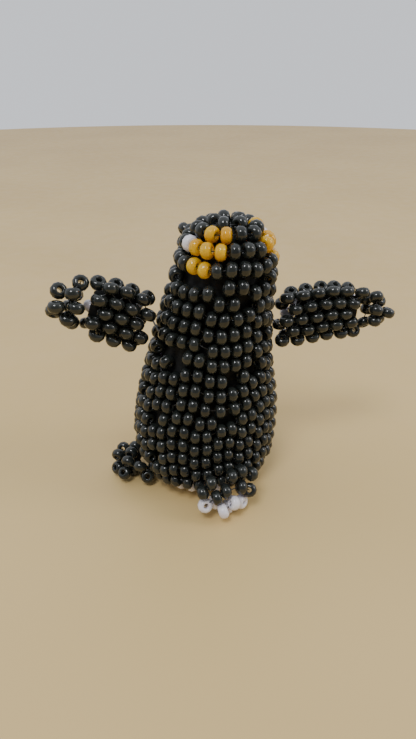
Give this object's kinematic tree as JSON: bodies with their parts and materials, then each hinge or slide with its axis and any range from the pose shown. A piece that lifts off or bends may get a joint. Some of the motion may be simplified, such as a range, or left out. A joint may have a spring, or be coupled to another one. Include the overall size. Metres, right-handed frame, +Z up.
{
  "type": "beaded penguin figure",
  "caption": "Hand-stitched standing penguin of glass seed beads over a stuffed core, with folding outstretched wings, feet, tail and beak.",
  "frame": {"origin": "on the ground under the middle of the body", "axes": "+Z up, the penguin looks along -Y, +X is its left side"},
  "size_m": [0.0612, 0.0292, 0.0513],
  "materials": {
    "black_glass": "glossy opaque black glass",
    "white_glass": "glossy opaque white glass",
    "amber_glass": "clear amber glass with a silvered hole",
    "stuffing": "dark cotton packed firm",
    "thread": "nylon beading thread"
  },
  "bodies": {
    "figure": {"back_beads": "black_glass", "beak_beads": "black_glass", "belly_beads": "white_glass", "body_stuffing": "stuffing", "breast_beads": "amber_glass", "head_beads": "black_glass", "left_ear_patch_beads": "amber_glass", "left_eye_bead": "white_glass", "left_foot_beads": "black_glass", "left_foot_sole_beads": "black_glass", "left_foot_stuffing": "stuffing", "right_ear_patch_beads": "amber_glass", "right_eye_bead": "white_glass", "right_foot_beads": "black_glass", "right_foot_sole_beads": "black_glass", "right_foot_stuffing": "stuffing", "tail_tip_beads": "white_glass", "tail_top_beads": "black_glass"},
    "left_wing": {"left_wing_beads": "black_glass", "left_wing_hinge_thread": "thread", "left_wing_lining_beads": "white_glass", "left_wing_stuffing": "stuffing"},
    "right_wing": {"right_wing_beads": "black_glass", "right_wing_hinge_thread": "thread", "right_wing_lining_beads": "white_glass", "right_wing_stuffing": "stuffing"}
  },
  "joints": [
    {"name": "left_wing_fold", "type": "hinge", "parent": "figure", "child": "left_wing", "pos_m": [0.00928, 0.00203, 0.03366], "axis": [0, -1, 0], "range_deg": [-14, 6]},
    {"name": "right_wing_fold", "type": "hinge", "parent": "figure", "child": "right_wing", "pos_m": [-0.01162, 0.00178, 0.03208], "axis": [0, 1, 0], "range_deg": [-5, 14]}
  ]
}
